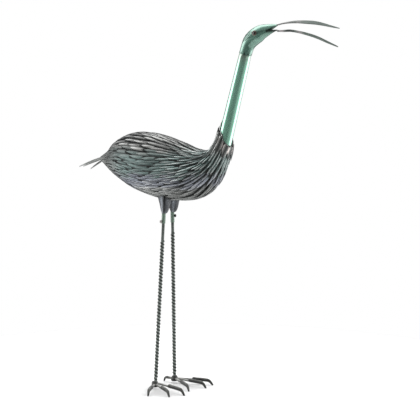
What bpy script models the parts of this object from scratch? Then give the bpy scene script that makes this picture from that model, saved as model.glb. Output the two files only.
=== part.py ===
# Crane garden statue: metal bird on two rod legs. Metres, +Z up, heading along +X, left side along +Y.
# The shapes are laid out round the feet, and at the end everything moves so that the origin is the middle
# of the box at ground level.
import math

import bpy
import bmesh
from mathutils import Matrix, Vector

for item in list(bpy.data.objects):
    bpy.data.objects.remove(item, do_unlink=True)

# fits
gap = 0.0003
sheet = 0.0014

# main sizes
leg_height = 0.4880
body_length = 0.4600
body_depth = 0.1900
body_width = 0.1700
neck_length = 0.2607
head_length = 0.1000
beak_length = 0.1820
toe_length = 0.1190

# body: side view of the coat, tail to neck. Places along are shares of the body's length from over the feet,
# heights are shares of its depth above the hips: top x, top z, bottom x, bottom z, half width
body_stations = (
    (-0.5130, 0.8658, -0.5087, 0.7868, 0.0618),
    (-0.4457, 0.9526, -0.4457, 0.6789, 0.1412),
    (-0.3413, 1.1316, -0.3435, 0.5289, 0.3000),
    (-0.2109, 1.2211, -0.1978, 0.3684, 0.4294),
    (-0.0652, 1.2000, -0.0326, 0.2579, 0.5000),
    (0.0761, 1.1105, 0.1196, 0.2263, 0.5000),
    (0.1957, 1.0053, 0.2717, 0.2789, 0.4588),
    (0.2935, 0.9474, 0.3696, 0.4553, 0.3706),
    (0.3609, 0.9737, 0.4283, 0.6842, 0.2706),
    (0.3935, 1.1053, 0.4717, 0.8895, 0.1941),
    (0.4152, 1.3105, 0.4935, 1.0000, 0.1500),
)
feather_columns = 30
feather_rows = 20
feather_lift = 0.0040
feather_side_lift = 0.0008

# neck
neck_lean = math.radians(16.1)
neck_base_radius = 0.0206
neck_top_radius = 0.0170
neck_seat = Vector((0.43331 * body_length, 0.0, leg_height + 0.96326 * body_depth))
neck_sides = 18

# head: from the joint with the neck on, shares of its length: centre x, centre z, tilt of the ring in degrees,
# half depth, half width
head_stations = (
    (0.074, 0.185, 14.0, 0.178, 0.175),
    (0.162, 0.325, 30.0, 0.208, 0.185),
    (0.262, 0.418, 44.0, 0.218, 0.190),
    (0.389, 0.495, 58.0, 0.216, 0.185),
    (0.529, 0.560, 72.0, 0.190, 0.160),
    (0.684, 0.597, 80.0, 0.152, 0.125),
    (0.844, 0.628, 86.0, 0.112, 0.088),
    (0.994, 0.647, 90.0, 0.078, 0.058),
)
head_rings = 13
head_sides = 16
mouth_depth = 0.0270
mouth_rise = 0.0052
mouth_drop = 0.0062
eye_place = 0.515
eye_rise = 0.09
eye_seat = 0.955
eye_radius = 0.0064
eye_depth = 0.0030
eye_height = 0.0022
eye_sides = 12
eye_upturn = 0.06  # rise of the eye's axis for each metre outward

# beak blades, shares of the beak's length: distance from the root, height of the ridge over the jaw,
# half width, drop of the edges
upper_blade = (
    (0.0000, 0.0132, 0.0198, 0.0077),
    (0.1099, 0.0308, 0.0242, 0.0121),
    (0.2747, 0.0429, 0.0352, 0.0264),
    (0.4396, 0.0363, 0.0429, 0.0396),
    (0.6044, 0.0170, 0.0451, 0.0440),
    (0.7418, -0.0187, 0.0363, 0.0363),
    (0.8791, -0.0654, 0.0220, 0.0220),
    (1.0000, -0.1055, 0.0077, 0.0066),
)
lower_blade = (
    (0.0000, -0.0220, 0.0242, -0.0154),
    (0.1099, -0.0319, 0.0286, -0.0187),
    (0.2473, -0.0407, 0.0341, -0.0231),
    (0.4396, -0.0890, 0.0385, -0.0275),
    (0.6319, -0.1538, 0.0363, -0.0275),
    (0.8242, -0.2363, 0.0264, -0.0198),
    (0.9780, -0.2967, 0.0077, -0.0066),
)
blade_sheet = 0.0016

# tail strips, in the same shares: y and rise of the root on the tail's end, then x, y and height of the tip
tail_strips = (
    ("tail_feather_a", 0.0000, 0.0189, -0.7043, -0.0235, 0.7000),
    ("tail_feather_b", -0.0282, -0.0063, -0.6522, -0.0706, 0.7053),
    ("tail_feather_c", 0.0282, -0.0158, -0.6304, 0.0471, 0.6632),
)
tail_strip_width = 0.0076
tail_strip_height = 0.0060
tail_strip_bow = 0.0012
strip_shape = ((0.0, 0.62), (0.25, 1.0), (0.6, 0.85), (0.85, 0.5), (1.0, 0.14))

# legs
stance_width = 0.0922
hip_width = 0.0490
foot_stagger = 0.0030
hip_stagger = 0.0075
hip_lean = 0.0147
thigh_top_z = leg_height + 0.0720
thigh_rim_radius = 0.0182
thigh_sides = 14
# shares of the rim radius and of the bowl's height
bowl_shape = ((0.65, 0.23), (0.835, 0.54), (1.0, 1.0))
bowl_top_z = leg_height + 0.0460
bowl_bottom_z = leg_height + 0.0110
socket_radius = 0.0050
socket_bottom_z = leg_height - 0.0220
rod_radius = 0.0038
rod_sides = 10
rod_depth_in_socket = 0.0260
rib_top_z = {"right": leg_height - 0.0620, "left": leg_height - 0.0460}
rib_radius = 0.0050
rib_root_radius = 0.0039
rib_pitch = 0.0093
rib_steps = 6
screw_head_radius = 0.0040
screw_head_height = 0.0034
screw_shank_radius = 0.0018
screw_neck = 0.0020
screw_sides = 8
screw_z = {"right": leg_height - 0.0170, "left": leg_height - 0.0030}
screw_turn = {"right": math.radians(238.0), "left": math.radians(36.0)}

# feet
hub_radius = 0.0105
hub_bottom_z = 0.0055
hub_side_z = 0.0165
hub_top_z = 0.0215
hub_sides = 16
leg_seat_depth = 0.0060
toe_axis_z = 0.0135
toe_half_width = 0.0046
toe_half_height = 0.0038
toe_sides = 6
# shares along the toe, of the axis height, of the half width, of the half height, and tilt in degrees
front_toe = (
    (0.000, 1.000, 0.33, 0.68, 0.0),
    (0.100, 1.000, 0.65, 0.66, 0.0),
    (0.380, 1.000, 0.70, 0.63, 0.0),
    (0.440, 1.096, 1.00, 1.00, 0.0),
    (0.510, 1.096, 1.00, 1.00, 0.0),
    (0.550, 1.052, 0.83, 0.74, 0.0),
    (0.700, 1.067, 1.00, 0.89, 4.0),
    (0.840, 0.963, 0.87, 0.79, 22.0),
    (0.930, 0.681, 0.52, 0.58, 48.0),
    (0.985, 0.267, 0.39, 0.47, 76.0),
    (1.000, 0.000, 0.28, 0.34, 90.0),
)
hind_toe = (
    (0.00, 1.00, 0.65, 0.74, 0.0),
    (0.40, 1.00, 0.78, 0.84, 10.0),
    (0.80, 0.74, 0.57, 0.63, 45.0),
    (0.97, 0.30, 0.39, 0.47, 75.0),
    (1.00, 0.00, 0.28, 0.34, 90.0),
)
# for each toe: name, turn from the heading in degrees, share of the toe's length, rise at the hub
toes = {
    "left": (("outer", 18.5, 0.975, 0.0), ("middle", -2.3, 0.975, 0.0), ("inner", -32.5, 1.0, 0.0),
             ("hind", 181.0, 0.324, 0.0)),
    "right": (("inner", -8.6, 0.992, 0.0040), ("middle", -30.8, 0.924, 0.0), ("outer", -65.4, 0.756, 0.0),
              ("hind", 143.0, 0.290, 0.0)),
}


def surface(name, color, metallic, roughness):
    found = bpy.data.materials.new(name)
    found.use_nodes = True
    shader = found.node_tree.nodes["Principled BSDF"]
    shader.inputs["Base Color"].default_value = (*color, 1.0)
    shader.inputs["Metallic"].default_value = metallic
    shader.inputs["Roughness"].default_value = roughness
    found.diffuse_color = (*color, 1.0)
    return found


feather_steel = surface("feather_steel", (0.155, 0.165, 0.170), 0.85, 0.42)
thigh_steel = surface("thigh_steel", (0.120, 0.125, 0.145), 0.80, 0.40)
green_enamel = surface("green_enamel", (0.085, 0.210, 0.140), 0.55, 0.20)
leg_iron = surface("leg_iron", (0.090, 0.105, 0.095), 0.80, 0.50)
foot_iron = surface("foot_iron", (0.130, 0.135, 0.125), 0.75, 0.48)
eye_glass = surface("eye_glass", (0.030, 0.022, 0.016), 0.00, 0.12)


def blend(stations, t):
    # point t between 0 and 1 of a smooth curve through the stations
    last = len(stations) - 1
    place = min(max(t, 0.0), 1.0) * last
    k = min(int(place), last - 1)
    f = place - k
    before = stations[max(k - 1, 0)]
    start = stations[k]
    end = stations[k + 1]
    after = stations[min(k + 2, last)]
    out = []
    for a, b, c, d in zip(before, start, end, after):
        out.append(0.5 * (2.0 * b + (c - a) * f + (2.0 * a - 5.0 * b + 4.0 * c - d) * f * f
                          + (3.0 * b - a - 3.0 * c + d) * f * f * f))
    return out


def piece(name, points, faces, material):
    mesh = bpy.data.meshes.new(name)
    mesh.from_pydata([tuple(p) for p in points], [], faces)
    mesh.materials.append(material)
    work = bmesh.new()
    work.from_mesh(mesh)
    bmesh.ops.recalc_face_normals(work, faces=work.faces)
    work.to_mesh(mesh)
    work.free()
    found = bpy.data.objects.new(name, mesh)
    bpy.context.scene.collection.objects.link(found)
    return found


def combine(target, tool, operation):
    # solid operation, kept as plain mesh, and the tool is removed
    step = target.modifiers.new("solid", "BOOLEAN")
    step.object = tool
    step.operation = operation
    step.solver = "EXACT"
    view = bpy.context.evaluated_depsgraph_get()
    result = bpy.data.meshes.new_from_object(target.evaluated_get(view))
    target.modifiers.clear()
    target.data = result
    bpy.data.objects.remove(tool, do_unlink=True)


def tube_faces(rings, sides):
    faces = []
    for r in range(rings - 1):
        for j in range(sides):
            n = (j + 1) % sides
            faces.append((r * sides + j, r * sides + n, (r + 1) * sides + n, (r + 1) * sides + j))
    faces.append(tuple(range(sides)))
    faces.append(tuple(range((rings - 1) * sides, rings * sides)))
    return faces


def turned(name, profile, sides, matrix, material):
    # closed solid turned about its own Z axis, each profile point is radius and height
    points = []
    for radius, z in profile:
        for j in range(sides):
            turn = 2.0 * math.pi * j / sides
            points.append(matrix @ Vector((radius * math.cos(turn), radius * math.sin(turn), z)))
    return piece(name, points, tube_faces(len(profile), sides), material)


def along(start, end):
    # frame with its origin at the start and Z toward the end
    toward = (end - start).normalized()
    side = Vector((0.0, 1.0, 0.0)).cross(toward).normalized()
    other = toward.cross(side)
    matrix = Matrix((side, other, toward)).transposed().to_4x4()
    matrix.translation = start
    return matrix


def neck_point(distance):
    # point on the neck's axis, measured from its seat in the body
    return neck_seat + Vector((math.sin(neck_lean), 0.0, math.cos(neck_lean))) * distance


def body_station(shares):
    # top x, top z, bottom x, bottom z and half width in metres
    top_x, top_z, low_x, low_z, half_width = shares
    return (top_x * body_length, leg_height + top_z * body_depth, low_x * body_length,
            leg_height + low_z * body_depth, half_width * body_width)


def body_point(t, turn, lift):
    top_x, top_z, low_x, low_z, half_width = body_station(blend(body_stations, t))
    centre = Vector(((top_x + low_x) / 2.0, 0.0, (top_z + low_z) / 2.0))
    rise = Vector(((top_x - low_x) / 2.0, 0.0, (top_z - low_z) / 2.0))
    height = rise.length
    up = rise / height
    normal = Vector((math.cos(turn) / height, math.sin(turn) / half_width)).normalized()
    lift = lift * min(1.0, half_width / 0.040)
    return (centre + up * (height * math.cos(turn) + lift * normal.x)
            + Vector((0.0, 1.0, 0.0)) * (half_width * math.sin(turn) + lift * normal.y))


def make_body():
    points = []
    low = []
    middle = []
    high = []
    for r in range(feather_rows + 1):
        for levels, lift in ((low, 0.0), (middle, feather_side_lift), (high, feather_lift)):
            ring = []
            for j in range(feather_columns):
                turn = 2.0 * math.pi * (j + 0.5 * (r % 2)) / feather_columns
                ring.append(len(points))
                points.append(body_point(r / feather_rows, turn, lift))
            levels.append(ring)
    faces = []
    for r in range(feather_rows + 1):
        for j in range(feather_columns):
            n = (j + 1) % feather_columns
            between = j if r % 2 == 0 else n
            left = middle[r][j]
            right = middle[r][n]
            if r == 0:
                faces.append((low[1][between], left, right))
            elif r == feather_rows:
                faces.append((high[r - 1][between], right, left))
            else:
                nose = low[r + 1][between]
                tip = high[r - 1][between]
                faces.append((nose, right, tip))
                faces.append((nose, tip, left))
            if r < feather_rows:
                for side in (j, n):
                    faces.append((middle[r + 1][between], high[r][side], middle[r][side]))
                    faces.append((middle[r + 1][between], middle[r][side], low[r + 1][between]))
    faces.append(tuple(middle[0]))
    faces.append(tuple(middle[feather_rows]))
    used = sorted({v for face in faces for v in face})
    place = {v: k for k, v in enumerate(used)}
    body = piece("feathered_body", [points[v] for v in used], [tuple(place[v] for v in f) for f in faces],
                 feather_steel)
    neck_frame = along(neck_point(0.0), neck_point(neck_length))
    radius = neck_base_radius + gap
    combine(body, turned("neck_cut", ((radius, 0.0), (radius, neck_length)), neck_sides, neck_frame,
                         feather_steel), "DIFFERENCE")
    radius = thigh_rim_radius + gap
    for side in ("right", "left"):
        profile = ((radius, bowl_bottom_z), (radius, thigh_top_z + gap))
        combine(body, turned("hip_cut", profile, thigh_sides, leg_frame(side), feather_steel), "DIFFERENCE")
    return body


def leg_frame(side):
    # frame that stands on the ground under the foot, its Z along the leg and scaled to world height
    way = 1.0 if side == "left" else -1.0
    back = 1.0 if side == "left" else 0.0
    foot = Vector((-foot_stagger * back, way * stance_width / 2.0, 0.0))
    hip = Vector((hip_lean - hip_stagger * back, way * hip_width / 2.0, leg_height))
    return along(foot, hip)


def make_neck():
    profile = ((neck_base_radius, gap), ((neck_base_radius + neck_top_radius) / 2.0, neck_length / 2.0),
               (neck_top_radius, neck_length))
    return turned("neck_tube", profile, neck_sides, along(neck_point(0.0), neck_point(neck_length)),
                  green_enamel)


def head_ring(t):
    # centre, direction of the back of the head, half depth and half width of one ring
    joint = neck_point(neck_length + gap)
    radius = neck_top_radius / head_length
    first = (0.0, 0.0, math.degrees(neck_lean), radius, radius)
    x, z, tilt, half_depth, half_width = blend((first,) + head_stations, t)
    tilt = math.radians(tilt)
    back = Vector((-math.cos(tilt), 0.0, math.sin(tilt)))
    centre = joint + Vector((x, 0.0, z)) * head_length
    return centre, back, half_depth * head_length, half_width * head_length


def make_head():
    points = []
    for r in range(head_rings):
        centre, back, half_depth, half_width = head_ring(r / (head_rings - 1))
        for j in range(head_sides):
            turn = 2.0 * math.pi * j / head_sides
            points.append(centre + back * (half_depth * math.cos(turn))
                          + Vector((0.0, half_width * math.sin(turn), 0.0)))
    head = piece("head", points, tube_faces(head_rings, head_sides), green_enamel)
    # the open mouth: a wedge from the corner to past the front, level below
    front = head_ring(1.0)[0]
    corner = front - Vector((mouth_depth, 0.0, mouth_drop))
    width = 2.0 * neck_top_radius
    wedge = []
    for y in (-width, width):
        side = corner + Vector((0.0, y, 0.0))
        wedge.append(side)
        wedge.append(side + Vector((mouth_depth, 0.0, mouth_rise + mouth_drop)) * 1.3)
        wedge.append(side + Vector((mouth_depth * 1.3, 0.0, 0.0)))
    combine(head, piece("mouth_cut", wedge, [(0, 1, 2), (3, 5, 4), (0, 3, 4, 1), (1, 4, 5, 2), (2, 5, 3, 0)],
                        green_enamel), "DIFFERENCE")
    for side in (-1.0, 1.0):
        combine(head, turned("eye_cut", ((eye_radius + gap, -gap), (eye_radius + gap, eye_radius * 3.0)),
                             eye_sides, eye_frame(side), green_enamel), "DIFFERENCE")
    return head


def eye_frame(side):
    # frame at the bottom of the eye's seat, Z pointing out of the head
    centre, back, half_depth, half_width = head_ring(eye_place)
    out = half_width * eye_seat - eye_depth
    seat = centre + back * (half_depth * eye_rise) + Vector((0.0, side * out, 0.0))
    return along(seat, seat + Vector((0.0, side, eye_upturn)))


def make_eyes():
    for name, side in (("right_eye", -1.0), ("left_eye", 1.0)):
        profile = ((eye_radius, 0.0), (eye_radius, eye_depth),
                   (eye_radius * 0.86, eye_depth + eye_height * 0.55),
                   (eye_radius * 0.45, eye_depth + eye_height))
        turned(name, profile, eye_sides, eye_frame(side), eye_glass)


def blade(name, stations, jaw):
    # folded leaf: ridge in the middle, edges lower by the drop (or higher where it is negative)
    root = head_ring(1.0)[0] + Vector((gap, 0.0, jaw))
    points = []
    rings = 11
    for r in range(rings):
        reach, ridge, half_width, drop = [beak_length * v for v in blend(stations, r / (rings - 1))]
        x = root.x + reach
        ridge += root.z
        way = 1.0 if drop > 0.0 else -1.0
        inner = blade_sheet * min(1.0, half_width / (2.0 * blade_sheet))
        points.append(Vector((x, 0.0, ridge)))
        points.append(Vector((x, half_width, ridge - drop)))
        points.append(Vector((x, half_width - inner * 0.5, ridge - drop - way * inner * 0.5)))
        points.append(Vector((x, 0.0, ridge - way * inner)))
        points.append(Vector((x, inner * 0.5 - half_width, ridge - drop - way * inner * 0.5)))
        points.append(Vector((x, -half_width, ridge - drop)))
    return piece(name, points, tube_faces(rings, 6), green_enamel)


def make_tail():
    top_x, top_z, low_x, low_z, half_width = body_station(body_stations[0])
    for name, y, rise, end_x, end_y, end_z in tail_strips:
        z = (top_z + low_z) / 2.0 + rise * body_depth
        start = Vector((0.0, y * body_width, z))
        start.x = low_x + (top_x - low_x) * (z - low_z) / (top_z - low_z) - gap
        end = Vector((end_x * body_length, end_y * body_width, leg_height + end_z * body_depth))
        points = []
        for share, width in strip_shape:
            spine = start.lerp(end, share)
            spine.z += tail_strip_bow * math.sin(math.pi * share)
            half_width = tail_strip_width / 2.0 * width
            half_height = tail_strip_height / 2.0 * (0.4 + 0.6 * width)
            points.append(spine + Vector((0.0, 0.0, half_height)))
            points.append(spine + Vector((0.0, half_width, -half_height * 0.4)))
            points.append(spine + Vector((0.0, 0.0, -half_height)))
            points.append(spine + Vector((0.0, -half_width, -half_height * 0.4)))
        for point in points[:4]:
            point.x = low_x + (top_x - low_x) * (point.z - low_z) / (top_z - low_z) - gap
        piece(name, points, tube_faces(len(strip_shape), 4), feather_steel)


def make_thigh(side):
    # a rolled sheet bowl, hollow above, that ends in the socket tube with the bore for the leg
    matrix = leg_frame(side)
    rise = bowl_top_z - bowl_bottom_z
    outer = [(socket_radius, socket_bottom_z), (socket_radius, bowl_bottom_z)]
    inner = [(socket_radius * 0.6, bowl_bottom_z + rise * 0.14)]
    for width, height in bowl_shape:
        outer.append((thigh_rim_radius * width, bowl_bottom_z + rise * height))
        inner.append((thigh_rim_radius * width - sheet, bowl_bottom_z + rise * height + sheet))
    outer.append((thigh_rim_radius, thigh_top_z))
    inner.append((thigh_rim_radius - sheet, thigh_top_z + socket_radius))
    thigh = turned(side + "_thigh", outer, thigh_sides, matrix, thigh_steel)
    combine(thigh, turned("hollow_cut", inner, thigh_sides, matrix, thigh_steel), "DIFFERENCE")
    bore = ((rod_radius + gap, socket_bottom_z - socket_radius),
            (rod_radius + gap, socket_bottom_z + rod_depth_in_socket + gap))
    combine(thigh, turned("bore_cut", bore, rod_sides, matrix, thigh_steel), "DIFFERENCE")
    hole = ((screw_shank_radius + gap, 0.0), (screw_shank_radius + gap, 3.0 * socket_radius))
    combine(thigh, turned("screw_cut", hole, screw_sides, screw_frame(side), thigh_steel), "DIFFERENCE")
    return thigh


def screw_frame(side):
    matrix = leg_frame(side)
    turn = screw_turn[side]
    centre = matrix @ Vector((0.0, 0.0, screw_z[side]))
    return along(centre, centre + Vector((math.cos(turn), math.sin(turn), 0.0)))


def make_screw(side):
    start = rod_radius + gap
    neck = socket_radius + screw_neck
    head = neck + screw_head_height
    profile = ((screw_shank_radius, start), (screw_shank_radius, neck), (screw_head_radius, neck),
               (screw_head_radius, neck + screw_head_height * 0.5), (screw_head_radius * 0.6, head))
    turned(side + "_set_screw", profile, screw_sides, screw_frame(side), foot_iron)


def make_leg(side):
    # the wound rib: crest and root lines climb round the rod, one turn for each pitch
    matrix = leg_frame(side)
    bottom = hub_top_z + gap
    turns = int((rib_top_z[side] - bottom) / rib_pitch)
    count = turns * rib_steps
    points = []
    for k in range(count + 1):
        turn = -2.0 * math.pi * k / rib_steps
        z = bottom + rib_pitch * k / rib_steps
        points.append(matrix @ Vector((rib_radius * math.cos(turn), rib_radius * math.sin(turn), z)))
        points.append(matrix @ Vector((rib_root_radius * math.cos(turn), rib_root_radius * math.sin(turn),
                                       z + rib_pitch / 2.0)))
    faces = []
    for k in range(count):
        faces.append((2 * k, 2 * k + 2, 2 * k + 3, 2 * k + 1))
        if k + rib_steps < count:
            over = 2 * (k + rib_steps)
            faces.append((2 * k + 1, 2 * k + 3, over + 2, over))
    low = len(points)
    points.append(matrix @ Vector((0.0, 0.0, bottom + rib_pitch * 0.5)))
    for k in range(rib_steps):
        faces.append((low, 2 * k + 2, 2 * k))
    faces.append((low, 1, 2 * rib_steps))
    faces.append((low, 0, 1))
    high = len(points)
    points.append(matrix @ Vector((0.0, 0.0, bottom + rib_pitch * turns)))
    first = count - rib_steps
    for k in range(first, count):
        faces.append((high, 2 * k + 1, 2 * k + 3))
    faces.append((high, 2 * count + 1, 2 * count))
    faces.append((high, 2 * count, 2 * first + 1))
    leg = piece(side + "_leg", points, faces, leg_iron)
    foot_end = ((rod_radius, hub_top_z - leg_seat_depth + gap), (rod_radius, bottom + rib_pitch))
    combine(leg, turned("foot_end", foot_end, rod_sides, matrix, leg_iron), "UNION")
    plain = ((rod_radius, bottom + rib_pitch * (turns - 0.5)),
             (rod_radius, socket_bottom_z + rod_depth_in_socket))
    combine(leg, turned("plain_rod", plain, rod_sides, matrix, leg_iron), "UNION")
    return leg


def make_hub(side):
    matrix = leg_frame(side)
    foot = matrix.translation
    edge = hub_radius * 0.2
    crown = hub_top_z - hub_side_z
    profile = ((hub_radius - edge, hub_bottom_z), (hub_radius, hub_bottom_z + edge), (hub_radius, hub_side_z),
               (hub_radius * 0.80, hub_side_z + crown * 0.68), (hub_radius * 0.62, hub_top_z))
    hub = turned(side + "_hub", profile, hub_sides, Matrix.Translation(foot), foot_iron)
    seat = ((rod_radius + gap, hub_top_z - leg_seat_depth), (rod_radius + gap, hub_top_z + leg_seat_depth))
    combine(hub, turned("seat_cut", seat, rod_sides, matrix, foot_iron), "DIFFERENCE")
    return hub


def make_toe(side, name, angle, reach, rise):
    length = reach * toe_length
    foot = leg_frame(side).translation
    turn = math.radians(angle)
    ahead = Vector((math.cos(turn), math.sin(turn), 0.0))
    across = Vector((-math.sin(turn), math.cos(turn), 0.0))
    stations = hind_toe if name == "hind" else front_toe
    start = hub_radius + gap
    points = []
    for share, height, width, thickness, tilt in stations:
        z = toe_axis_z * height + rise * (1.0 - share)
        centre = foot + ahead * (start + (length - start) * share) + Vector((0.0, 0.0, z))
        slope = math.radians(tilt)
        up = Vector((0.0, 0.0, 1.0)) * math.cos(slope) + ahead * math.sin(slope)
        for j in range(toe_sides):
            place = 2.0 * math.pi * (j + 0.5) / toe_sides
            points.append(centre + across * (toe_half_width * width * 1.1 * math.sin(place))
                          + up * (toe_half_height * thickness * 1.15 * math.cos(place)))
    return piece(side + "_toe_" + name, points, tube_faces(len(stations), toe_sides), foot_iron)


make_body()
make_neck()
make_head()
make_eyes()
blade("upper_beak", upper_blade, mouth_rise)
blade("lower_beak", lower_blade, -mouth_drop)
make_tail()
for side in ("right", "left"):
    make_thigh(side)
    make_screw(side)
    make_leg(side)
    make_hub(side)
    for name, angle, reach, rise in toes[side]:
        make_toe(side, name, angle, reach, rise)

# origin: the middle of the box, on the ground
corners = [v.co for o in bpy.data.objects for v in o.data.vertices]
shift = Vector([-(min(c[k] for c in corners) + max(c[k] for c in corners)) / 2.0 for k in range(3)])
shift.z = -min(c.z for c in corners)
for item in bpy.data.objects:
    item.data.transform(Matrix.Translation(shift))
print("shift", tuple(round(s, 5) for s in shift))
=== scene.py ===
import math
import random

import bmesh
import bpy
from mathutils import Matrix, Vector


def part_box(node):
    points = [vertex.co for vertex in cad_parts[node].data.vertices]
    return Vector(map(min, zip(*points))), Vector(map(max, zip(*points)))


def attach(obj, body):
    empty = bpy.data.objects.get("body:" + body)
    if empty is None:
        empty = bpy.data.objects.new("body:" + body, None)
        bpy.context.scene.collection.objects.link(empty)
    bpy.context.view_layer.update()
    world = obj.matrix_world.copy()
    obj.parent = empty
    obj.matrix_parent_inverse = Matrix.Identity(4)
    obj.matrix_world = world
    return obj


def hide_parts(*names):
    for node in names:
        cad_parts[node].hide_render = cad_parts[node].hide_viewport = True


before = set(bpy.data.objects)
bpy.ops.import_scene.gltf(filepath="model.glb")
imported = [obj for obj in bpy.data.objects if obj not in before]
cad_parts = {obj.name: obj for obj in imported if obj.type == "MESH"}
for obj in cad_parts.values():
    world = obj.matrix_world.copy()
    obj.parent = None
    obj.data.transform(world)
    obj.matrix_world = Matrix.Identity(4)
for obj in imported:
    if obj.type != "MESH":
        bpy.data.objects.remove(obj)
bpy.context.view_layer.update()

up = Vector((0.0, 0.0, 1.0))
left = Vector((0.0, 1.0, 0.0))
stanceWidth = 0.0922
hubLow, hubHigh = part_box("right_hub")
# the point on the ground between the feet, from where the shapes are laid out
home = Vector(((hubLow[0] + hubHigh[0]) / 2.0, (hubLow[1] + hubHigh[1]) / 2.0 + stanceWidth / 2.0, 0.0))


# ---- shader sockets as Python values
class Shade:
    def __init__(self, tree, socket=None):
        self.tree = tree
        self.socket = socket

    def node(self, kind, settings=None, sockets=None, output=0):
        made = self.tree.nodes.new(kind)
        for name, value in (settings or {}).items():
            if name == "stops":  # places and greys or colours of a ramp
                steps = made.color_ramp.elements
                while len(steps) < len(value):
                    steps.new(1.0)
                for step, (place, color) in zip(steps, value):
                    step.position = place
                    step.color = (*color, 1.0) if isinstance(color, tuple) else (color, color, color, 1.0)
            elif name == "ease":
                made.color_ramp.interpolation = value
            else:
                setattr(made, name, value)
        for name, value in (sockets or {}).items():
            if isinstance(value, Shade):
                self.tree.links.new(value.socket, made.inputs[name])
            else:
                made.inputs[name].default_value = value
        return Shade(self.tree, made.outputs[output])

    def maths(self, operation, *values):
        return self.node("ShaderNodeMath", {"operation": operation}, dict(enumerate(values)))

    def __add__(self, other):
        return self.maths("ADD", self, other)

    def __sub__(self, other):
        return self.maths("SUBTRACT", self, other)

    def __rsub__(self, other):
        return self.maths("SUBTRACT", other, self)

    def __mul__(self, other):
        return self.maths("MULTIPLY", self, other)

    def out(self, number):
        # another output of the same node
        return Shade(self.tree, self.socket.node.outputs[number])

    def ramp(self, stops, ease="LINEAR"):
        return self.node("ShaderNodeValToRGB", {"stops": stops, "ease": ease}, {"Fac": self})

    def span(self, low, high, start=0.0, end=1.0):
        # low to high becomes start to end, held beyond them
        return self.node("ShaderNodeMapRange", {"interpolation_type": "SMOOTHSTEP"},
                         {"Value": self, "From Min": low, "From Max": high, "To Min": start, "To Max": end})

    def mix(self, first, second):
        # this value is the share of the second colour
        return self.node("ShaderNodeMix", {"data_type": "RGBA"}, {0: self, 6: first, 7: second}, 2)


def rgb(red, green, blue):
    return (red, green, blue, 1.0)


def startFinish(name):
    # a new material: the material, its shader, a starting value and the Object coordinates
    material = bpy.data.materials.new(name)
    material.use_nodes = True
    tree = material.node_tree
    shader = tree.nodes["Principled BSDF"]
    start = Shade(tree)
    return material, shader, start, start.node("ShaderNodeTexCoord", output="Object")


def wire(shader, **links):
    # what feeds the sockets of a shader, a value or another socket, with _ for the space in their names
    tree = shader.id_data
    for name, value in links.items():
        socket = shader.inputs[name.replace("_", " ")]
        if isinstance(value, Shade):
            tree.links.new(value.socket, socket)
        else:
            socket.default_value = value


def noise(place, scale, detail):
    return place.node("ShaderNodeTexNoise", sockets={"Vector": place, "Scale": scale, "Detail": detail})


def painted(start, name):
    # a value that paint() left on the vertices
    return start.node("ShaderNodeAttribute", {"attribute_name": name}, output="Fac")


def bumped(start, height, distance, strength):
    return start.node("ShaderNodeBump",
                      sockets={"Height": height, "Distance": distance, "Strength": strength})


# ---- mesh helpers
def closeUp(bm, verts):
    # doubles merged and open rims filled; gives the vertices that are left
    bmesh.ops.remove_doubles(bm, verts=verts, dist=1e-6)
    verts = [v for v in verts if v.is_valid]
    rims = {e for v in verts for e in v.link_edges if e.is_boundary}
    if rims:
        bmesh.ops.holes_fill(bm, edges=list(rims), sides=0)
    return verts


def wrap(bm, around, length, place, closed=True):
    # a grid laid on a surface: place(u, v) gives its point, u round it and v along it, both 0 to 1
    made = bmesh.ops.create_grid(bm, x_segments=around, y_segments=length, size=1.0)["verts"]
    for vert in made:
        vert.co = place((vert.co.x + 1.0) / 2.0, (vert.co.y + 1.0) / 2.0)
    if closed:
        closeUp(bm, made)


def turned(bm, profile, sides, matrix):
    # a line of (radius, height) points spun about the Z axis of the matrix
    verts = [bm.verts.new((radius, 0.0, z)) for radius, z in profile]
    edges = [bm.edges.new(pair) for pair in zip(verts, verts[1:])]
    bmesh.ops.spin(bm, geom=verts + edges, cent=(0, 0, 0), axis=(0, 0, 1), dvec=(0, 0, 0),
                   angle=2.0 * math.pi, steps=sides, use_merge=True, use_duplicate=False)
    made = set(verts)
    stack = list(verts)
    while stack:
        for edge in stack.pop().link_edges:
            for vert in edge.verts:
                if vert not in made:
                    made.add(vert)
                    stack.append(vert)
    bmesh.ops.transform(bm, matrix=matrix, verts=closeUp(bm, list(made)))


def along(start, end):
    # frame with its origin at the start and Z toward the end
    toward = (end - start).normalized()
    side = left.cross(toward).normalized()
    matrix = Matrix((side, toward.cross(side), toward)).transposed().to_4x4()
    matrix.translation = start
    return matrix


def polar(radius, turn, high=0.0):
    return Vector((radius * math.cos(turn), radius * math.sin(turn), high))


def paint(bm, name, value):
    # value(point) from 0 to 1 kept on the vertices for the finish
    layer = bm.verts.layers.float_color.get(name) or bm.verts.layers.float_color.new(name)
    for vert in bm.verts:
        share = max(0.0, min(1.0, value(vert.co)))
        vert[layer] = (share, share, share, 1.0)


def asMesh(name, bm):
    mesh = bpy.data.meshes.new(name)
    bm.to_mesh(mesh)
    bm.free()
    return mesh


def keep(name, bm, materials, slot, *nodes, angle=40.0):
    # the finished piece, in place of its CAD nodes
    bmesh.ops.recalc_face_normals(bm, faces=bm.faces)
    for face in bm.faces:
        face.smooth = True
    for edge in bm.edges:
        if len(edge.link_faces) == 2 and edge.calc_face_angle(0.0) > math.radians(angle):
            edge.smooth = False
    mesh = asMesh(name, bm)
    for material in materials:
        mesh.materials.append(material)
    piece = bpy.data.objects.new(name, mesh)
    bpy.context.scene.collection.objects.link(piece)
    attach(piece, "root")
    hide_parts(*nodes)
    print(name, "has", sum(len(p.vertices) - 2 for p in mesh.polygons), "triangles")


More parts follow.
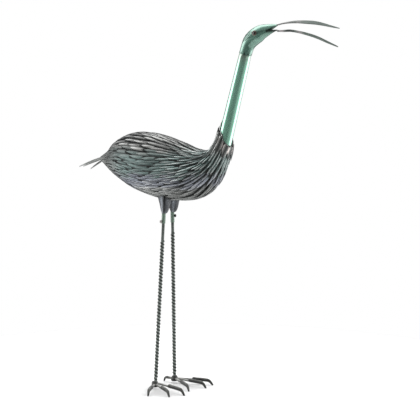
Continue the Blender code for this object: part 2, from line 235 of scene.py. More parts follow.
def blend(stations, t):
    # point t between 0 and 1 of a smooth curve through the stations
    last = len(stations) - 1
    spot = min(max(t, 0.0), 1.0) * last
    k = min(int(spot), last - 1)
    f = spot - k
    out = []
    for a, b, c, d in zip(stations[max(k - 1, 0)], stations[k], stations[k + 1], stations[min(k + 2, last)]):
        out.append(0.5 * (2.0 * b + (c - a) * f + (2.0 * a - 5.0 * b + 4.0 * c - d) * f * f
                          + (3.0 * b - a - 3.0 * c + d) * f * f * f))
    return out


# ---- finishes
def makeFeatherSteel():
    look = {
        "steel": (0.158, 0.164, 0.158), "teal": (0.070, 0.114, 0.108), "violet": (0.136, 0.148, 0.186),
        "warm": (0.108, 0.102, 0.100), "edge": (0.54, 0.55, 0.54), "shadow": (0.030, 0.032, 0.031),
        "rubbedAndLit": (0.58, 0.53, 0.50), "tint": (0.62, 0.62, 0.64),
        # heights where a band starts, is full, starts to fade and is gone
        "tealBand": (0.585, 0.615, 0.655, 0.685), "tealShare": 0.75,
        "violetBand": (0.556, 0.580, 0.592, 0.612), "violetShare": 0.7,
        "calmBand": (0.558, 0.588, 0.670, 0.705),
        "warmShare": 0.4, "rearShadeShare": 0.38,
        "metallic": 0.9, "roughness": 0.34, "scratch": 0.22, "grain": 0.00012,
    }
    material, shader, start, place = startFinish("featherSteel")
    leaf = start.node("ShaderNodeAttribute", {"attribute_name": "leaf"}, output="Color")
    tone = leaf.node("ShaderNodeSeparateColor", sockets={"Color": leaf})
    down = tone.out(1)    # 0 at the root of a feather, 1 at its tip
    across = tone.out(2)  # 0 and 1 at its edges, 0.5 on the ridge
    x = start.node("ShaderNodeSeparateXYZ", sockets={0: place})
    cloud = noise(place, 9.0, 3.0)
    wander = (cloud - 0.5) * 0.05 + (tone - 0.5) * 0.018
    height = x.out(2) + wander

    def band(low, full, fade, gone):
        return height.span(low, full) * height.span(fade, gone, 1.0, 0.0)

    # heat tints in bands along the flank, warm over the shoulder and behind a slanting line
    ahead = x.span(home.x - 0.20, home.x - 0.08)
    tealBand = band(*look["tealBand"]) * ahead * look["tealShare"]
    violetBand = band(*look["violetBand"]) * ahead * look["violetShare"]
    shoulder = height.span(0.655, 0.690) * x.span(home.x + 0.17, home.x + 0.13)
    slanting = (x - height * 0.289).span(home.x + 0.006, home.x + 0.024)
    color = (start.maths("MAXIMUM", shoulder, slanting) * look["warmShare"]).mix(
        rgb(*look["steel"]), rgb(*look["warm"]))
    color = tealBand.mix(color, rgb(*look["teal"]))
    color = violetBand.mix(color, rgb(*look["violet"]))

    # feathers differ in tone, less so on the calm flank; painted light brightens the collar, painted shade
    # darkens the rear
    calm = band(*look["calmBand"]) * x.span(home.x + 0.10, home.x + 0.02)
    dim = tone.span(0.0, 1.0, 0.60, 1.22) * (1.0 - calm) + tone.span(0.0, 1.0, 0.60, 0.92) * calm
    # the rear of the back is darkened as painted shade
    rearShade = x.span(home.x - 0.05, home.x - 0.15) * height.span(0.640, 0.670)
    # the collar is painted lighter, most near its top: painted light
    paintedLight = (height.span(0.690, 0.720) * 0.60 + 0.14) * x.span(home.x + 0.140, home.x + 0.170)
    dim = dim * (1.0 - rearShade * look["rearShadeShare"]) * (paintedLight + 1.0)
    color = start.node("ShaderNodeVectorMath", {"operation": "SCALE"}, {0: color, "Scale": dim})

    # feathers get a painted highlight on the ridge and painted shade in the grooves at their edges, the leaves
    # of the bib the other way round
    rim = start.maths("ABSOLUTE", across - 0.5) * 2.0
    hung = tone.span(1.2, 1.4)
    # painted highlight along the ridge of each feather
    ridgeHighlight = rim.span(0.36, 0.0) * down.span(0.40, 0.75) * (0.62 - calm * 0.50)
    color = ridgeHighlight.mix(color, rgb(*look["edge"]))
    # painted shade where the root of a feather lies under the tip of the one ahead, and in the grooves at its
    # edges
    rootShade = down.span(0.38, 0.22)
    edgeShade = (rim - calm * 0.07).span(0.42, 0.76) * 0.95 * (1.0 - hung)
    color = start.maths("MAXIMUM", rootShade, edgeShade).mix(color, rgb(*look["shadow"]))
    # the bib leaves: painted shade in the middle, and pale edges that are partly worn and partly a painted
    # highlight
    color = (rim.span(0.60, 0.20) * hung * 0.9).mix(color, rgb(*look["shadow"]))
    color = (rim.span(0.66, 0.90) * hung * 0.9).mix(color, rgb(*look["rubbedAndLit"]))

    stretch = start.node("ShaderNodeMapping", sockets={"Vector": place, "Scale": (60.0, 400.0, 400.0)})
    scratch = noise(stretch, 1.0, 4.0)
    rough = scratch * look["scratch"] + (look["roughness"] - look["scratch"] / 2.0)
    wire(shader, Base_Color=color, Metallic=look["metallic"], Roughness=rough + rootShade * 0.3 + calm * 0.12,
         Normal=bumped(start, scratch, look["grain"], 0.6))
    shader.inputs["Specular Tint"].default_value = rgb(*look["tint"])
    return material


def makeCoreShade():
    # the hollow seen between the feathers, painted near black as shade
    material, shader, _, place = startFinish("coreShade")
    darkShade = noise(place, 140.0, 3.0)
    color = darkShade.mix(rgb(0.006, 0.007, 0.008), rgb(0.022, 0.023, 0.022))
    wire(shader, Base_Color=color, Metallic=0.3, Roughness=darkShade * 0.2 + 0.6)
    return material


def makeGreenGloss(name, deep, shine, roughness, browned=None, metallic=0.72, coat=1.0, coatRough=0.06):
    # browned is the height where heat starts to dull the green, and the height where it is full
    look = {
        "brown": (0.150, 0.165, 0.130), "brownShare": 0.75, "pale": (0.330, 0.300, 0.305),
        "grime": (0.012, 0.016, 0.013), "paintedShadeShare": 0.95, "coatIor": 1.75,
    }
    material, shader, start, place = startFinish(name)
    cloud = noise(place, 22.0, 4.0)
    flow = start.node("ShaderNodeMapping", sockets={"Vector": place, "Scale": (120.0, 120.0, 12.0)})
    streak = noise(flow, 1.0, 3.0)
    color = (cloud * 0.6 + streak * 0.4).ramp(((0.36, deep), (0.66, shine)))
    if browned:
        z = start.node("ShaderNodeSeparateXYZ", sockets={0: place}, output=2)
        heat = (z + (cloud - 0.5) * 0.012).span(*browned)
        color = (heat * look["brownShare"]).mix(color, rgb(*look["brown"]))
    # pale is a painted highlight and the darkening after it painted shade, both left on the vertices
    pale = painted(start, "pale")
    color = pale.mix(color, rgb(*look["pale"]))
    grime = painted(start, "grime")
    color = (grime * look["paintedShadeShare"]).mix(color, rgb(*look["grime"]))
    rough = cloud * 0.08 + (roughness - 0.04)
    wire(shader, Base_Color=color, Metallic=metallic, Roughness=rough, Coat_Weight=(1.0 - grime) * coat,
         Normal=bumped(start, streak, 0.0002, 0.1))
    shader.inputs["Coat Roughness"].default_value = coatRough
    shader.inputs["Coat IOR"].default_value = look["coatIor"]
    return material


def makeIron(name, dark, pale, roughness, metallic, specular, scale=90.0, shadeBelow=0.0):
    # the painted value is 1 where the finish is pale, partly from wear and partly as a painted highlight, and
    # the underside can be painted in shade up to a height
    darkShade = (0.010, 0.011, 0.010)
    deep = tuple(c * 0.22 for c in dark)
    material, shader, start, place = startFinish(name)
    cloud = noise(place, scale, 5.0)
    fine = noise(place, scale * 9.0, 2.0)
    wornAndLit = painted(start, "wear")
    color = (wornAndLit * 0.75 + cloud * 0.6 - 0.15).ramp(((0.18, deep), (0.5, dark), (0.92, pale)))
    # the underside is darkened as painted shade
    if shadeBelow:
        z = start.node("ShaderNodeSeparateXYZ", sockets={0: place}, output=2)
        color = ((z + cloud * 0.003).span(shadeBelow, shadeBelow - 0.006) * 0.8).mix(color, rgb(*darkShade))
    rough = cloud * 0.2 + fine * 0.1 + (roughness - 0.15)
    wire(shader, Base_Color=color, Metallic=metallic, Roughness=rough,
         Normal=bumped(start, cloud + fine * 0.3, 0.0005, 0.5))
    shader.inputs["Specular IOR Level"].default_value = specular
    return material


def makeSmooth(name, color, roughness, metallic=0.0):
    speck = 0.25  # how far the colour strays to each side
    material, shader, _, place = startFinish(name)
    cloud = noise(place, 400.0, 3.0)
    low = tuple(c * (1.0 - speck) for c in color)
    high = tuple(c * (1.0 + speck) for c in color)
    wire(shader, Base_Color=cloud.mix(rgb(*low), rgb(*high)), Metallic=metallic,
         Roughness=cloud * 0.1 + (roughness - 0.05))
    return material


featherSteel = makeFeatherSteel()
coreShade = makeCoreShade()
neckGreen = makeGreenGloss("neckGreen", (0.175, 0.415, 0.300), (0.205, 0.465, 0.345), 0.15,
                           browned=(0.885, 0.925))
headGreen = makeGreenGloss("headGreen", (0.062, 0.172, 0.124), (0.118, 0.275, 0.205), 0.38, coatRough=0.22)
beakGreen = makeGreenGloss("beakGreen", (0.070, 0.094, 0.082), (0.100, 0.126, 0.113), 0.60,
                           metallic=0.10, coat=0.0)
thighSteel = makeIron("thighSteel", (0.070, 0.074, 0.080), (0.262, 0.284, 0.312), 0.60,
                      metallic=0.15, specular=0.2, scale=40.0)
socketGreen = makeGreenGloss("socketGreen", (0.062, 0.104, 0.076), (0.120, 0.180, 0.135), 0.50,
                             metallic=0.3, coat=0.2)
legIron = makeIron("legIron", (0.070, 0.082, 0.074), (0.200, 0.225, 0.210), 0.60, metallic=0.05, specular=0.2)
footIron = makeIron("footIron", (0.085, 0.087, 0.082), (0.420, 0.420, 0.405), 0.50,
                    metallic=0.2, specular=0.3, scale=60.0, shadeBelow=0.0105)
screwGrey = makeSmooth("screwGrey", (0.340, 0.318, 0.305), 0.7)
# near black for the painted shadow inside the mouth
mouthShade = makeSmooth("mouthShade", (0.008, 0.009, 0.009), 0.7)
eyeDark = makeSmooth("eyeDark", (0.012, 0.010, 0.008), 0.12)
eyeRing = makeSmooth("eyeRing", (0.120, 0.085, 0.065), 0.35, 0.5)
print("finishes are ready")


# ---- coat
coat = {
    "rows": 30,
    "columns": (32, 24, 18, 12, 8),
    "pitch": 0.0130,
    "leafShare": 3.35,  # length of a leaf in rows
    "leafLimits": (0.040, 0.064),
    "leafSteps": 5,
    "sink": 0.0014,  # how far the root of a leaf lies in the coat
    "tipLift": 0.0030,
    "ridge": 0.0021,
    "sheet": 0.0007,
    "coreDepth": 0.0032,
    "warp": 0.14,  # lanes are wider on the back and the belly than on the flanks
}
wing = {  # the folded wing on each flank
    "lift": 0.0014,
    "droop": math.radians(22.0),
    "end": 0.310,
    "front": 0.76,
    "middle": math.radians(84.0),
    "spread": math.radians(36.0),
    "rise": 0.015,
    "fade": 0.25,
    "droopSpread": math.radians(62.0),
    "droopFrom": 0.68,
    "droopRun": 0.34,
    "proudRun": 0.07,  # feathers at its end stand proud
    "tipLift": 0.0050,
}
bib = {  # leaves at the front of the rim
    "leaves": 5,
    "spread": 36.0,
    "length": 0.046,
    "halfWidth": 0.0092,
    "lift": 0.0048,
    "overlap": 0.0008,
    "tone": 1.5,  # above 1, which marks them for the finish
    "rooted": 0.45,
}
coatStations = (  # top x, top z, bottom x, bottom z, half width, tail to neck
    (-0.2360, 0.6525, -0.2340, 0.6375, 0.0105), (-0.2050, 0.6690, -0.2050, 0.6170, 0.0240),
    (-0.1570, 0.7030, -0.1580, 0.5885, 0.0510), (-0.0970, 0.7200, -0.0910, 0.5580, 0.0730),
    (-0.0300, 0.7160, -0.0150, 0.5370, 0.0850), (0.0350, 0.6990, 0.0550, 0.5310, 0.0850),
    (0.0900, 0.6790, 0.1250, 0.5410, 0.0780), (0.1350, 0.6680, 0.1700, 0.5745, 0.0630),
    (0.1660, 0.6730, 0.1970, 0.6180, 0.0460), (0.1810, 0.6980, 0.2170, 0.6570, 0.0330),
    (0.1910, 0.7370, 0.2270, 0.6780, 0.0255))


def coatPoint(t, turn, lift):
    topX, topZ, lowX, lowZ, halfWidth = blend(coatStations, t)
    centre = Vector(((topX + lowX) / 2.0, 0.0, (topZ + lowZ) / 2.0))
    rise = Vector(((topX - lowX) / 2.0, 0.0, (topZ - lowZ) / 2.0))
    height = rise.length
    normal = Vector((math.cos(turn) / height, math.sin(turn) / halfWidth)).normalized()
    lift *= min(1.0, halfWidth / 0.040)
    return (home + centre + rise / height * (height * math.cos(turn) + lift * normal.x)
            + left * (halfWidth * math.sin(turn) + lift * normal.y))


def coatSpread(t, turn):
    # length round the coat for each radian of turn
    topX, topZ, lowX, lowZ, wide = blend(coatStations, t)
    tall = math.hypot(topX - lowX, topZ - lowZ) / 2.0
    return max(math.hypot(tall * math.sin(turn), wide * math.cos(turn)), 0.006)


def makeLeaf(shape):
    # flat template: x across from -1 to 1, y from the root 0 to the tip 1, z up in parts of the ridge height
    bm = bmesh.new()
    made = bmesh.ops.create_grid(bm, x_segments=2, y_segments=coat["leafSteps"], size=1.0)["verts"]
    for vert in made:
        s = max(0.0, (vert.co.y + 1.0) / 2.0)
        side = vert.co.x
        high = (1.0 - abs(side)) * math.sin(math.pi * (0.1 + 0.85 * s))
        vert.co = Vector((side * blend(shape, s)[0], s, high))
    tips = [v for v in made if v.co.y > 0.999]
    bmesh.ops.remove_doubles(bm, verts=tips, dist=1e-3)
    bmesh.ops.recalc_face_normals(bm, faces=bm.faces)
    base = bmesh.ops.extrude_face_region(bm, geom=list(bm.faces))
    for vert in [g for g in base["geom"] if isinstance(g, bmesh.types.BMVert)]:
        vert.co.z -= coat["sheet"] / coat["ridge"]
    return asMesh("leaf", bm)


def addLeaf(bm, layer, template, tone, place, rooted=0.0):
    # one more feather: place(x, s, z) gives the point of a template vertex
    # rooted is where it starts on the finish's way from root to tip
    first = len(bm.verts)
    bm.from_mesh(template)
    bm.verts.ensure_lookup_table()
    for vert in bm.verts[first:]:
        x, s, z = vert.co
        vert[layer] = (tone, rooted + (1.0 - rooted) * s, 0.5 + 0.5 * x, 1.0)
        vert.co = place(x, s, z)


def makeCore():
    # the hollow under the feathers, in the near-black painted shade
    bm = bmesh.new()
    wrap(bm, 44, 40, lambda u, v: coatPoint(0.005 + 0.985 * v, 2.0 * math.pi * u, -coat["coreDepth"]))
    for face in bm.faces:
        face.material_index = 1
    return asMesh("core", bm)


def wingShare(t, lane):
    # 1 on a folded wing, 0 off it
    high = 2.0 * (1.0 - ((abs(lane) - wing["middle"]) / wing["spread"]) ** 2)
    run = min((t - wing["end"]) / wing["rise"], (wing["front"] - t) / wing["fade"])
    return max(0.0, min(1.0, high)) * max(0.0, min(1.0, run))


def flow(t, lane, onWing):
    # the turn of a lane of feathers, which droops along the wing
    if not onWing:
        return lane
    share = max(0.0, 1.0 - ((abs(lane) - wing["middle"]) / wing["droopSpread"]) ** 2)
    run = min(1.0, max(0.0, (wing["droopFrom"] - max(t, wing["end"])) / wing["droopRun"]))
    return lane + math.copysign(wing["droop"] * share * run * run * (3.0 - 2.0 * run), lane)


def makeBib(bm, layer, dice):
    # broad leaves with rounded tops that hang from the rim over the breast; the finish paints their middles in
    # shade and their edges pale, partly worn and partly a painted highlight
    template = makeLeaf(((0.72,), (1.0,), (1.0,), (0.86,), (0.55,), (0.0,)))
    for k in range(bib["leaves"]):
        lane = math.pi + math.radians(bib["spread"]) * (k - (bib["leaves"] - 1) / 2.0)
        lane += dice.uniform(-0.05, 0.05)
        length = bib["length"] * dice.uniform(0.88, 1.08)
        out = bib["lift"] + bib["overlap"] * (k % 2)
        skew = dice.uniform(-0.15, 0.15)
        reach = (coatPoint(0.99, lane, 0.0) - coatPoint(0.85, lane, 0.0)).length / 0.14

        def place(x, s, z):
            at = 1.0 - s * length / reach
            side = (x + skew * s) * bib["halfWidth"] / coatSpread(at, lane)
            return coatPoint(at, lane + side, out + z * coat["ridge"] - 0.002 * (1.0 - s))

        addLeaf(bm, layer, template, bib["tone"], place, bib["rooted"])


def makeCoat():
    dice = random.Random(7)
    bm = bmesh.new()
    layer = bm.verts.layers.float_color.new("leaf")
    leafSlim = makeLeaf(((0.60,), (0.90,), (1.0,), (0.92,), (0.62,), (0.0,)))
    leafFull = makeLeaf(((0.60,), (0.85,), (1.0,), (1.0,), (0.78,), (0.0,)))
    rows = coat["rows"]
    step = 1e-3
    for row in range(rows, -1, -1):
        t = row / rows * 0.985 + 0.02
        topX, topZ, lowX, lowZ, halfWidth = blend(coatStations, t)
        halfHeight = math.hypot(topX - lowX, topZ - lowZ) / 2.0
        girth = math.pi * (3.0 * (halfWidth + halfHeight)
                           - math.sqrt((3.0 * halfWidth + halfHeight) * (halfWidth + 3.0 * halfHeight)))
        columns = next((n for n in coat["columns"] if girth / n >= coat["pitch"]), coat["columns"][-1])
        for column in range(columns):
            lane = 2.0 * math.pi * (column + 0.5 * (row % 2) + dice.uniform(-0.07, 0.07)) / columns
            lane = (lane + math.pi) % (2.0 * math.pi) - math.pi
            roomy = 1.0 + 2.0 * coat["warp"] * math.cos(2.0 * lane)
            lane += coat["warp"] * math.sin(2.0 * lane)
            start = t + dice.uniform(-0.3, 0.3) / rows
            onWing = start > wing["end"]
            share = wingShare(start, lane)
            proud = share * max(0.0, 1.0 - (start - wing["end"]) / wing["proudRun"])
            proud *= 1.0 if abs(lane) > wing["middle"] else 0.5
            width = girth / columns * roomy * (0.31 + 0.05 * dice.random() + 0.06 * share)
            skew = dice.uniform(-0.2, 0.2) * (1.0 + 0.5 * share) + dice.uniform(-0.5, 0.5) * proud
            tip = coat["tipLift"] * dice.uniform(0.6, 1.25) + wing["tipLift"] * proud * dice.uniform(0.3, 1.0)
            base = 0.0005 * (row % 2) + wing["lift"] * share
            tone = dice.random()
            template = leafFull if dice.random() < 0.6 else leafSlim
            reach = (coatPoint(t + step, lane, 0.0) - coatPoint(t - step, lane, 0.0)).length / (2.0 * step)
            shortest, longest = coat["leafLimits"]
            length = min(longest, max(shortest, reach * coat["leafShare"] / rows)) * dice.uniform(0.90, 1.10)

            def place(x, s, z):
                at = start - s * length / max(reach, 0.2)
                turn = flow(at, lane, onWing)
                side = (x * width + skew * s * width * 2.0) / coatSpread(at, turn)
                return coatPoint(at, turn + side, base + tip * s ** 1.5 + z * coat["ridge"] - coat["sink"])

            rooted = bib["rooted"] if row > rows - 2 else 0.0  # at the rim the whole feather shows
            addLeaf(bm, layer, template, tone, place, rooted)
    makeCollar(bm, layer, leafSlim, dice)
    makeBib(bm, layer, dice)
    bm.from_mesh(makeCore())
    keep("featherCoat", bm, (featherSteel, coreShade), "feather_steel", "feathered_body", angle=28.0)


# ---- neck
neck = {
    "lean": math.radians(16.1),
    "seatX": 0.19932,
    "seatZ": 0.6710,
    "length": 0.2607,
    "baseRadius": 0.0200,
    "topRadius": 0.0163,
    "sides": 72,
    "rings": 90,
    "pinch": 0.0004,
    "pinchHeight": 0.0030,
    "notches": 10,
    "notchDepth": 0.0011,
    "notchPhase": math.radians(330.0),
    "notchRise": 0.0030,
    "notchHeight": 0.0046,
}


def neckRadius(share):
    return neck["baseRadius"] + (neck["topRadius"] - neck["baseRadius"]) * share


collar = {  # upright leaves at the back and sides of the neck
    "tiers": (  # leaves, reach to each side in degrees, height at the sides and at the back, distance, lean
        (9, 100.0, 0.045, 0.080, 0.0022, 0.0), (9, 118.0, 0.033, 0.063, 0.0062, 0.0030)),
    "length": 0.050,
    "halfWidth": 0.0066,
    "ridge": 0.0016,
    "rooted": 0.4,
}
neckSeat = home + Vector((neck["seatX"], 0.0, neck["seatZ"]))
neckWay = Vector((math.sin(neck["lean"]), 0.0, math.cos(neck["lean"])))
neckJoint = neckSeat + neckWay * neck["length"]
neckFrame = along(neckSeat, neckJoint)


def makeCollar(bm, layer, template, dice):
    # the outer leaves stand lower
    for count, reach, low, high, out, lean in collar["tiers"]:
        for k in range(count):
            turn = math.pi + math.radians(reach) * (2.0 * (k + 0.5 + dice.uniform(-0.15, 0.15)) / count - 1.0)
            back = max(0.0, -math.cos(turn))  # 1 at the back of the neck
            tip = low + (high - low) * back ** 1.5 * dice.uniform(0.94, 1.0)
            length = collar["length"] * dice.uniform(0.9, 1.1)
            half = collar["halfWidth"] * dice.uniform(0.9, 1.1)
            tone = 0.6 + 0.4 * dice.random()
            skew = dice.uniform(-0.12, 0.12)

            def place(x, s, z):
                rise = tip - length * (1.0 - s)
                radius = neckRadius(rise / neck["length"]) + out + z * collar["ridge"] - lean * s ** 2
                angle = turn + (x * half + skew * s * half) / radius
                return neckFrame @ polar(radius, angle, rise)

            addLeaf(bm, layer, template, tone, place, collar["rooted"])


def notchShare(point):
    # 1 in the middle of a crimp notch at the joint with the head, for a point in the neck's frame
    wave = math.cos((math.atan2(point.y, point.x) - neck["notchPhase"]) * neck["notches"])
    away = (point.z - neck["length"] - neck["notchRise"]) / neck["notchHeight"]
    return max(0.0, 0.25 + 0.75 * wave) * math.exp(-away ** 2)


def makeNeck():
    # smooth tube, pinched a little where the head is crimped on
    def place(u, v):
        turn = 2.0 * math.pi * u
        v = 1.0 - (1.0 - v) ** 1.6  # rings closer together at the crimp
        high = neck["length"] * v
        radius = neckRadius(v)
        radius -= neck["pinch"] * math.exp(-((high - neck["length"]) / neck["pinchHeight"] + 1.0) ** 2)
        radius -= neck["notchDepth"] * notchShare(polar(1.0, turn, high))
        return polar(radius, turn, high)

    bm = bmesh.new()
    wrap(bm, neck["sides"], neck["rings"], place)
    # the crimp notches are painted dark: painted shade
    paint(bm, "grime", notchShare)
    bmesh.ops.transform(bm, matrix=neckFrame, verts=bm.verts)
    keep("neckTube", bm, (neckGreen,), "green_enamel", "neck_tube")


makeCoat()
makeNeck()

# ---- head
head = {
    "size": 0.100,
    "mouthDepth": 0.0270,
    "mouthRise": 0.0052,
    "mouthDrop": 0.0062,
    "gap": 0.0003,
    "lip": 0.0068,
    "lipFade": 0.004,
    "sides": 60,
    "rings": 70,
}
eye = {
    "place": 0.515,  # share along the head
    "rise": 0.09,
    "seat": 0.955,
    "depth": 0.0030,
    "radius": 0.0069,
    "bead": 0.68,
    "dome": 0.0022,
    "sides": 28,
}
eyeProfile = (  # the ring round the bead: share of the radius, height
    (1.00, 0.0), (1.00, 0.0032), (0.94, 0.0041), (0.82, 0.0044), (0.72, 0.0040), (0.70, 0.0030))
headStations = (  # centre x and z from the joint, tilt of the ring in degrees, half depth, half width
    (0.0, 0.0, 16.1, 0.170, 0.170), (0.074, 0.185, 14.0, 0.178, 0.175), (0.162, 0.325, 30.0, 0.208, 0.185),
    (0.262, 0.418, 44.0, 0.218, 0.190), (0.389, 0.495, 58.0, 0.216, 0.185), (0.529, 0.560, 72.0, 0.190, 0.160),
    (0.684, 0.597, 80.0, 0.152, 0.125), (0.844, 0.628, 86.0, 0.112, 0.088), (0.994, 0.647, 90.0, 0.078, 0.058))


def headRing(t):
    x, z, tilt, halfDepth, halfWidth = blend(headStations, t)
    tilt = math.radians(tilt)
    size = head["size"]
    back = Vector((-math.cos(tilt), 0.0, math.sin(tilt)))
    centre = neckJoint + neckWay * head["gap"] + Vector((x, 0.0, z)) * size
    return centre, back, halfDepth * size, halfWidth * size


headFront = headRing(1.0)[0]
mouthCorner = headFront - Vector((head["mouthDepth"], 0.0, head["mouthDrop"]))


def makeHead():
    def place(u, v):
        centre, back, halfDepth, halfWidth = headRing(v)
        turn = 2.0 * math.pi * u
        return centre + back * (halfDepth * math.cos(turn)) + left * (halfWidth * math.sin(turn))

    bm = bmesh.new()
    wrap(bm, head["sides"], head["rings"], place)
    bmesh.ops.recalc_face_normals(bm, faces=bm.faces)
    pod = asMesh("pod", bm)
    whole = bmesh.new()
    # the pod is cut twice: the upper jaw lies above the slanting plane, the lower jaw below the level one
    slant = Vector((-(head["mouthRise"] + head["mouthDrop"]), 0.0, head["mouthDepth"])).normalized()
    for normal in (-slant, up):
        part = bmesh.new()
        part.from_mesh(pod)
        cut = bmesh.ops.bisect_plane(part, geom=part.verts[:] + part.edges[:] + part.faces[:], dist=1e-7,
                                     plane_co=mouthCorner, plane_no=normal, clear_outer=True)
        rim = [g for g in cut["geom_cut"] if isinstance(g, bmesh.types.BMEdge)]
        # the level cut, the lower jaw's face inside the mouth, takes the near-black painted shadow
        for face in bmesh.ops.holes_fill(part, edges=rim, sides=0)["faces"]:
            face.material_index = 1 if normal is up else 0
        whole.from_mesh(asMesh("half", part))

    def dark(p):
        # painted shade in the crimp notches round the neck, and painted shadow on the lip of the lower jaw
        # inside the mouth
        lip = 0.0
        if p.z < mouthCorner.z + 0.0005:
            front = min(1.0, max(0.0, (p.x - mouthCorner.x) / head["lipFade"] + 1.0))
            lip = math.exp(-((mouthCorner.z - p.z) / head["lip"]) ** 4) * front
        return max(notchShare(neckFrame.inverted() @ p), lip)

    paint(whole, "grime", dark)
    keep("headShell", whole, (headGreen, mouthShade), "green_enamel", "head", angle=50.0)


def eyeFrame(side):
    centre, back, halfDepth, halfWidth = headRing(eye["place"])
    out = halfWidth * eye["seat"] - eye["depth"]
    seat = centre + back * (halfDepth * eye["rise"]) + left * (side * out)
    return along(seat, seat + Vector((0.0, side, 0.06)))


def makeEyes():
    radius = eye["radius"]
    ring = [(radius * share, high) for share, high in eyeProfile]
    bead = [(0.0, 0.0012)]
    for a in range(0, 90, 15):
        slope = math.radians(a)
        bead.append((radius * eye["bead"] * math.cos(slope), eye["depth"] + eye["dome"] * math.sin(slope)))
    bead.append((0.0, eye["depth"] + eye["dome"]))
    for name, side, node in (("rightEye", -1.0, "right_eye"), ("leftEye", 1.0, "left_eye")):
        bm = bmesh.new()
        turned(bm, ring, eye["sides"], eyeFrame(side))
        for face in bm.faces:
            face.material_index = 1
        known = set(bm.faces)
        turned(bm, bead, eye["sides"], eyeFrame(side))
        for face in bm.faces:
            if face not in known:
                face.material_index = 0
        keep(name, bm, (eyeDark, eyeRing), "eye_glass", node)


# ---- beak
beak = {
    "length": 0.182,
    "sheet": 0.0014,
    "gap": 0.0003,
    "across": 8,
    "steps": 48,
}
upperBlade = (  # share of the length from the root, height of the ridge, half width, drop of the edges
    (0.0000, 0.0132, 0.0198, 0.0077), (0.1099, 0.0308, 0.0242, 0.0121), (0.2747, 0.0429, 0.0352, 0.0264),
    (0.4396, 0.0363, 0.0429, 0.0396), (0.6044, 0.0170, 0.0451, 0.0440), (0.7418, -0.0187, 0.0363, 0.0363),
    (0.8791, -0.0654, 0.0220, 0.0220), (1.0000, -0.1055, 0.0077, 0.0066))
lowerBlade = (  # the same for the lower blade
    (0.0000, -0.0220, 0.0242, -0.0154), (0.1099, -0.0319, 0.0286, -0.0187), (0.2473, -0.0407, 0.0341, -0.0231),
    (0.4396, -0.0890, 0.0385, -0.0275), (0.6319, -0.1538, 0.0363, -0.0275), (0.8242, -0.2363, 0.0264, -0.0198),
    (0.9780, -0.2967, 0.0077, -0.0066))
# where the blades get painted shade and painted highlight: place along, half length, strength
upperShading = {"grime": ((0.30, 0.10, 0.3),), "pale": ((0.12, 0.16, 0.45), (0.36, 0.05, 0.4))}
lowerShading = {"grime": ((0.22, 0.08, 0.95),), "pale": ((0.08, 0.05, 1.0), (0.38, 0.05, 0.7))}


def makeBlade(name, stations, jaw, node, shading):
    root = headFront + Vector((beak["gap"], 0.0, jaw))

    def place(u, v):
        reach, ridge, halfWidth, drop = [beak["length"] * n for n in blend(stations, v)]
        side = 2.0 * u - 1.0
        fold = abs(side) ** 1.15
        return root + Vector((reach, halfWidth * side, ridge - drop * fold))

    bm = bmesh.new()
    wrap(bm, beak["across"], beak["steps"], place, closed=False)
    bmesh.ops.recalc_face_normals(bm, faces=bm.faces)
    for face in bm.faces:  # the sheet hangs below its ridge
        if face.normal.z < 0.0:
            face.normal_flip()
    bmesh.ops.solidify(bm, geom=bm.faces[:], thickness=beak["sheet"])
    for layer, spots in shading.items():
        def shadingAt(p):
            reach = (p.x - root.x) / beak["length"]
            return sum(share * math.exp(-((reach - spot) / wide) ** 2) for spot, wide, share in spots)

        paint(bm, layer, shadingAt)
    keep(name, bm, (beakGreen,), "green_enamel", node)


makeHead()
makeEyes()
makeBlade("upperBeak", upperBlade, head["mouthRise"], "upper_beak", upperShading)
makeBlade("lowerBeak", lowerBlade, -head["mouthDrop"], "lower_beak", lowerShading)

# ---- tail strips
tail = {
    "width": 0.0076,
    "height": 0.0060,
    "bow": 0.0012,
    "sheet": 0.0009,
}
tailStrips = (  # name, node, y and rise of the root, then the tip
    ("tailStripA", "tail_feather_a", 0.0, 0.0036, (-0.3238, -0.0040, 0.6210)),
    ("tailStripB", "tail_feather_b", -0.0048, -0.0012, (-0.3000, -0.0120, 0.6220)),
    ("tailStripC", "tail_feather_c", 0.0048, -0.0030, (-0.2900, 0.0080, 0.6140)))
# width along a strip
stripShape = ((0.62,), (0.95,), (1.0,), (0.85,), (0.55,), (0.14,))


def makeTail():
    topX, topZ, lowX, lowZ, halfWidth = coatStations[0]
    for name, node, y, rise, tip in tailStrips:
        z = (topZ + lowZ) / 2.0 + rise
        start = Vector((lowX + (topX - lowX) * (z - lowZ) / (topZ - lowZ), y, z))

        def place(u, v):
            width = blend(stripShape, v)[0]
            spine = home + start.lerp(Vector(tip), v) + up * (tail["bow"] * math.sin(math.pi * v))
            side = 2.0 * u - 1.0
            high = tail["height"] * (0.4 + 0.6 * width)
            return spine + left * (tail["width"] / 2.0 * width * side) + up * (high * (0.5 - 0.75 * abs(side)))

        bm = bmesh.new()
        wrap(bm, 4, 24, place, closed=False)
        for face in bm.faces:
            face.normal_update()
            if face.normal.z < 0.0:
                face.normal_flip()
        bmesh.ops.solidify(bm, geom=bm.faces[:], thickness=tail["sheet"])
        layer = bm.verts.layers.float_color.new("leaf")
        for vert in bm.verts:
            share = (vert.co.x - start.x - home.x) / (tip[0] - start.x)
            across = (vert.co.y - (home + start.lerp(Vector(tip), share)).y) / tail["width"]
            vert[layer] = (0.75, 0.5 + 0.5 * share, 0.5 + 0.7 * across, 1.0)
        keep(name, bm, (featherSteel,), "feather_steel", node)


makeTail()

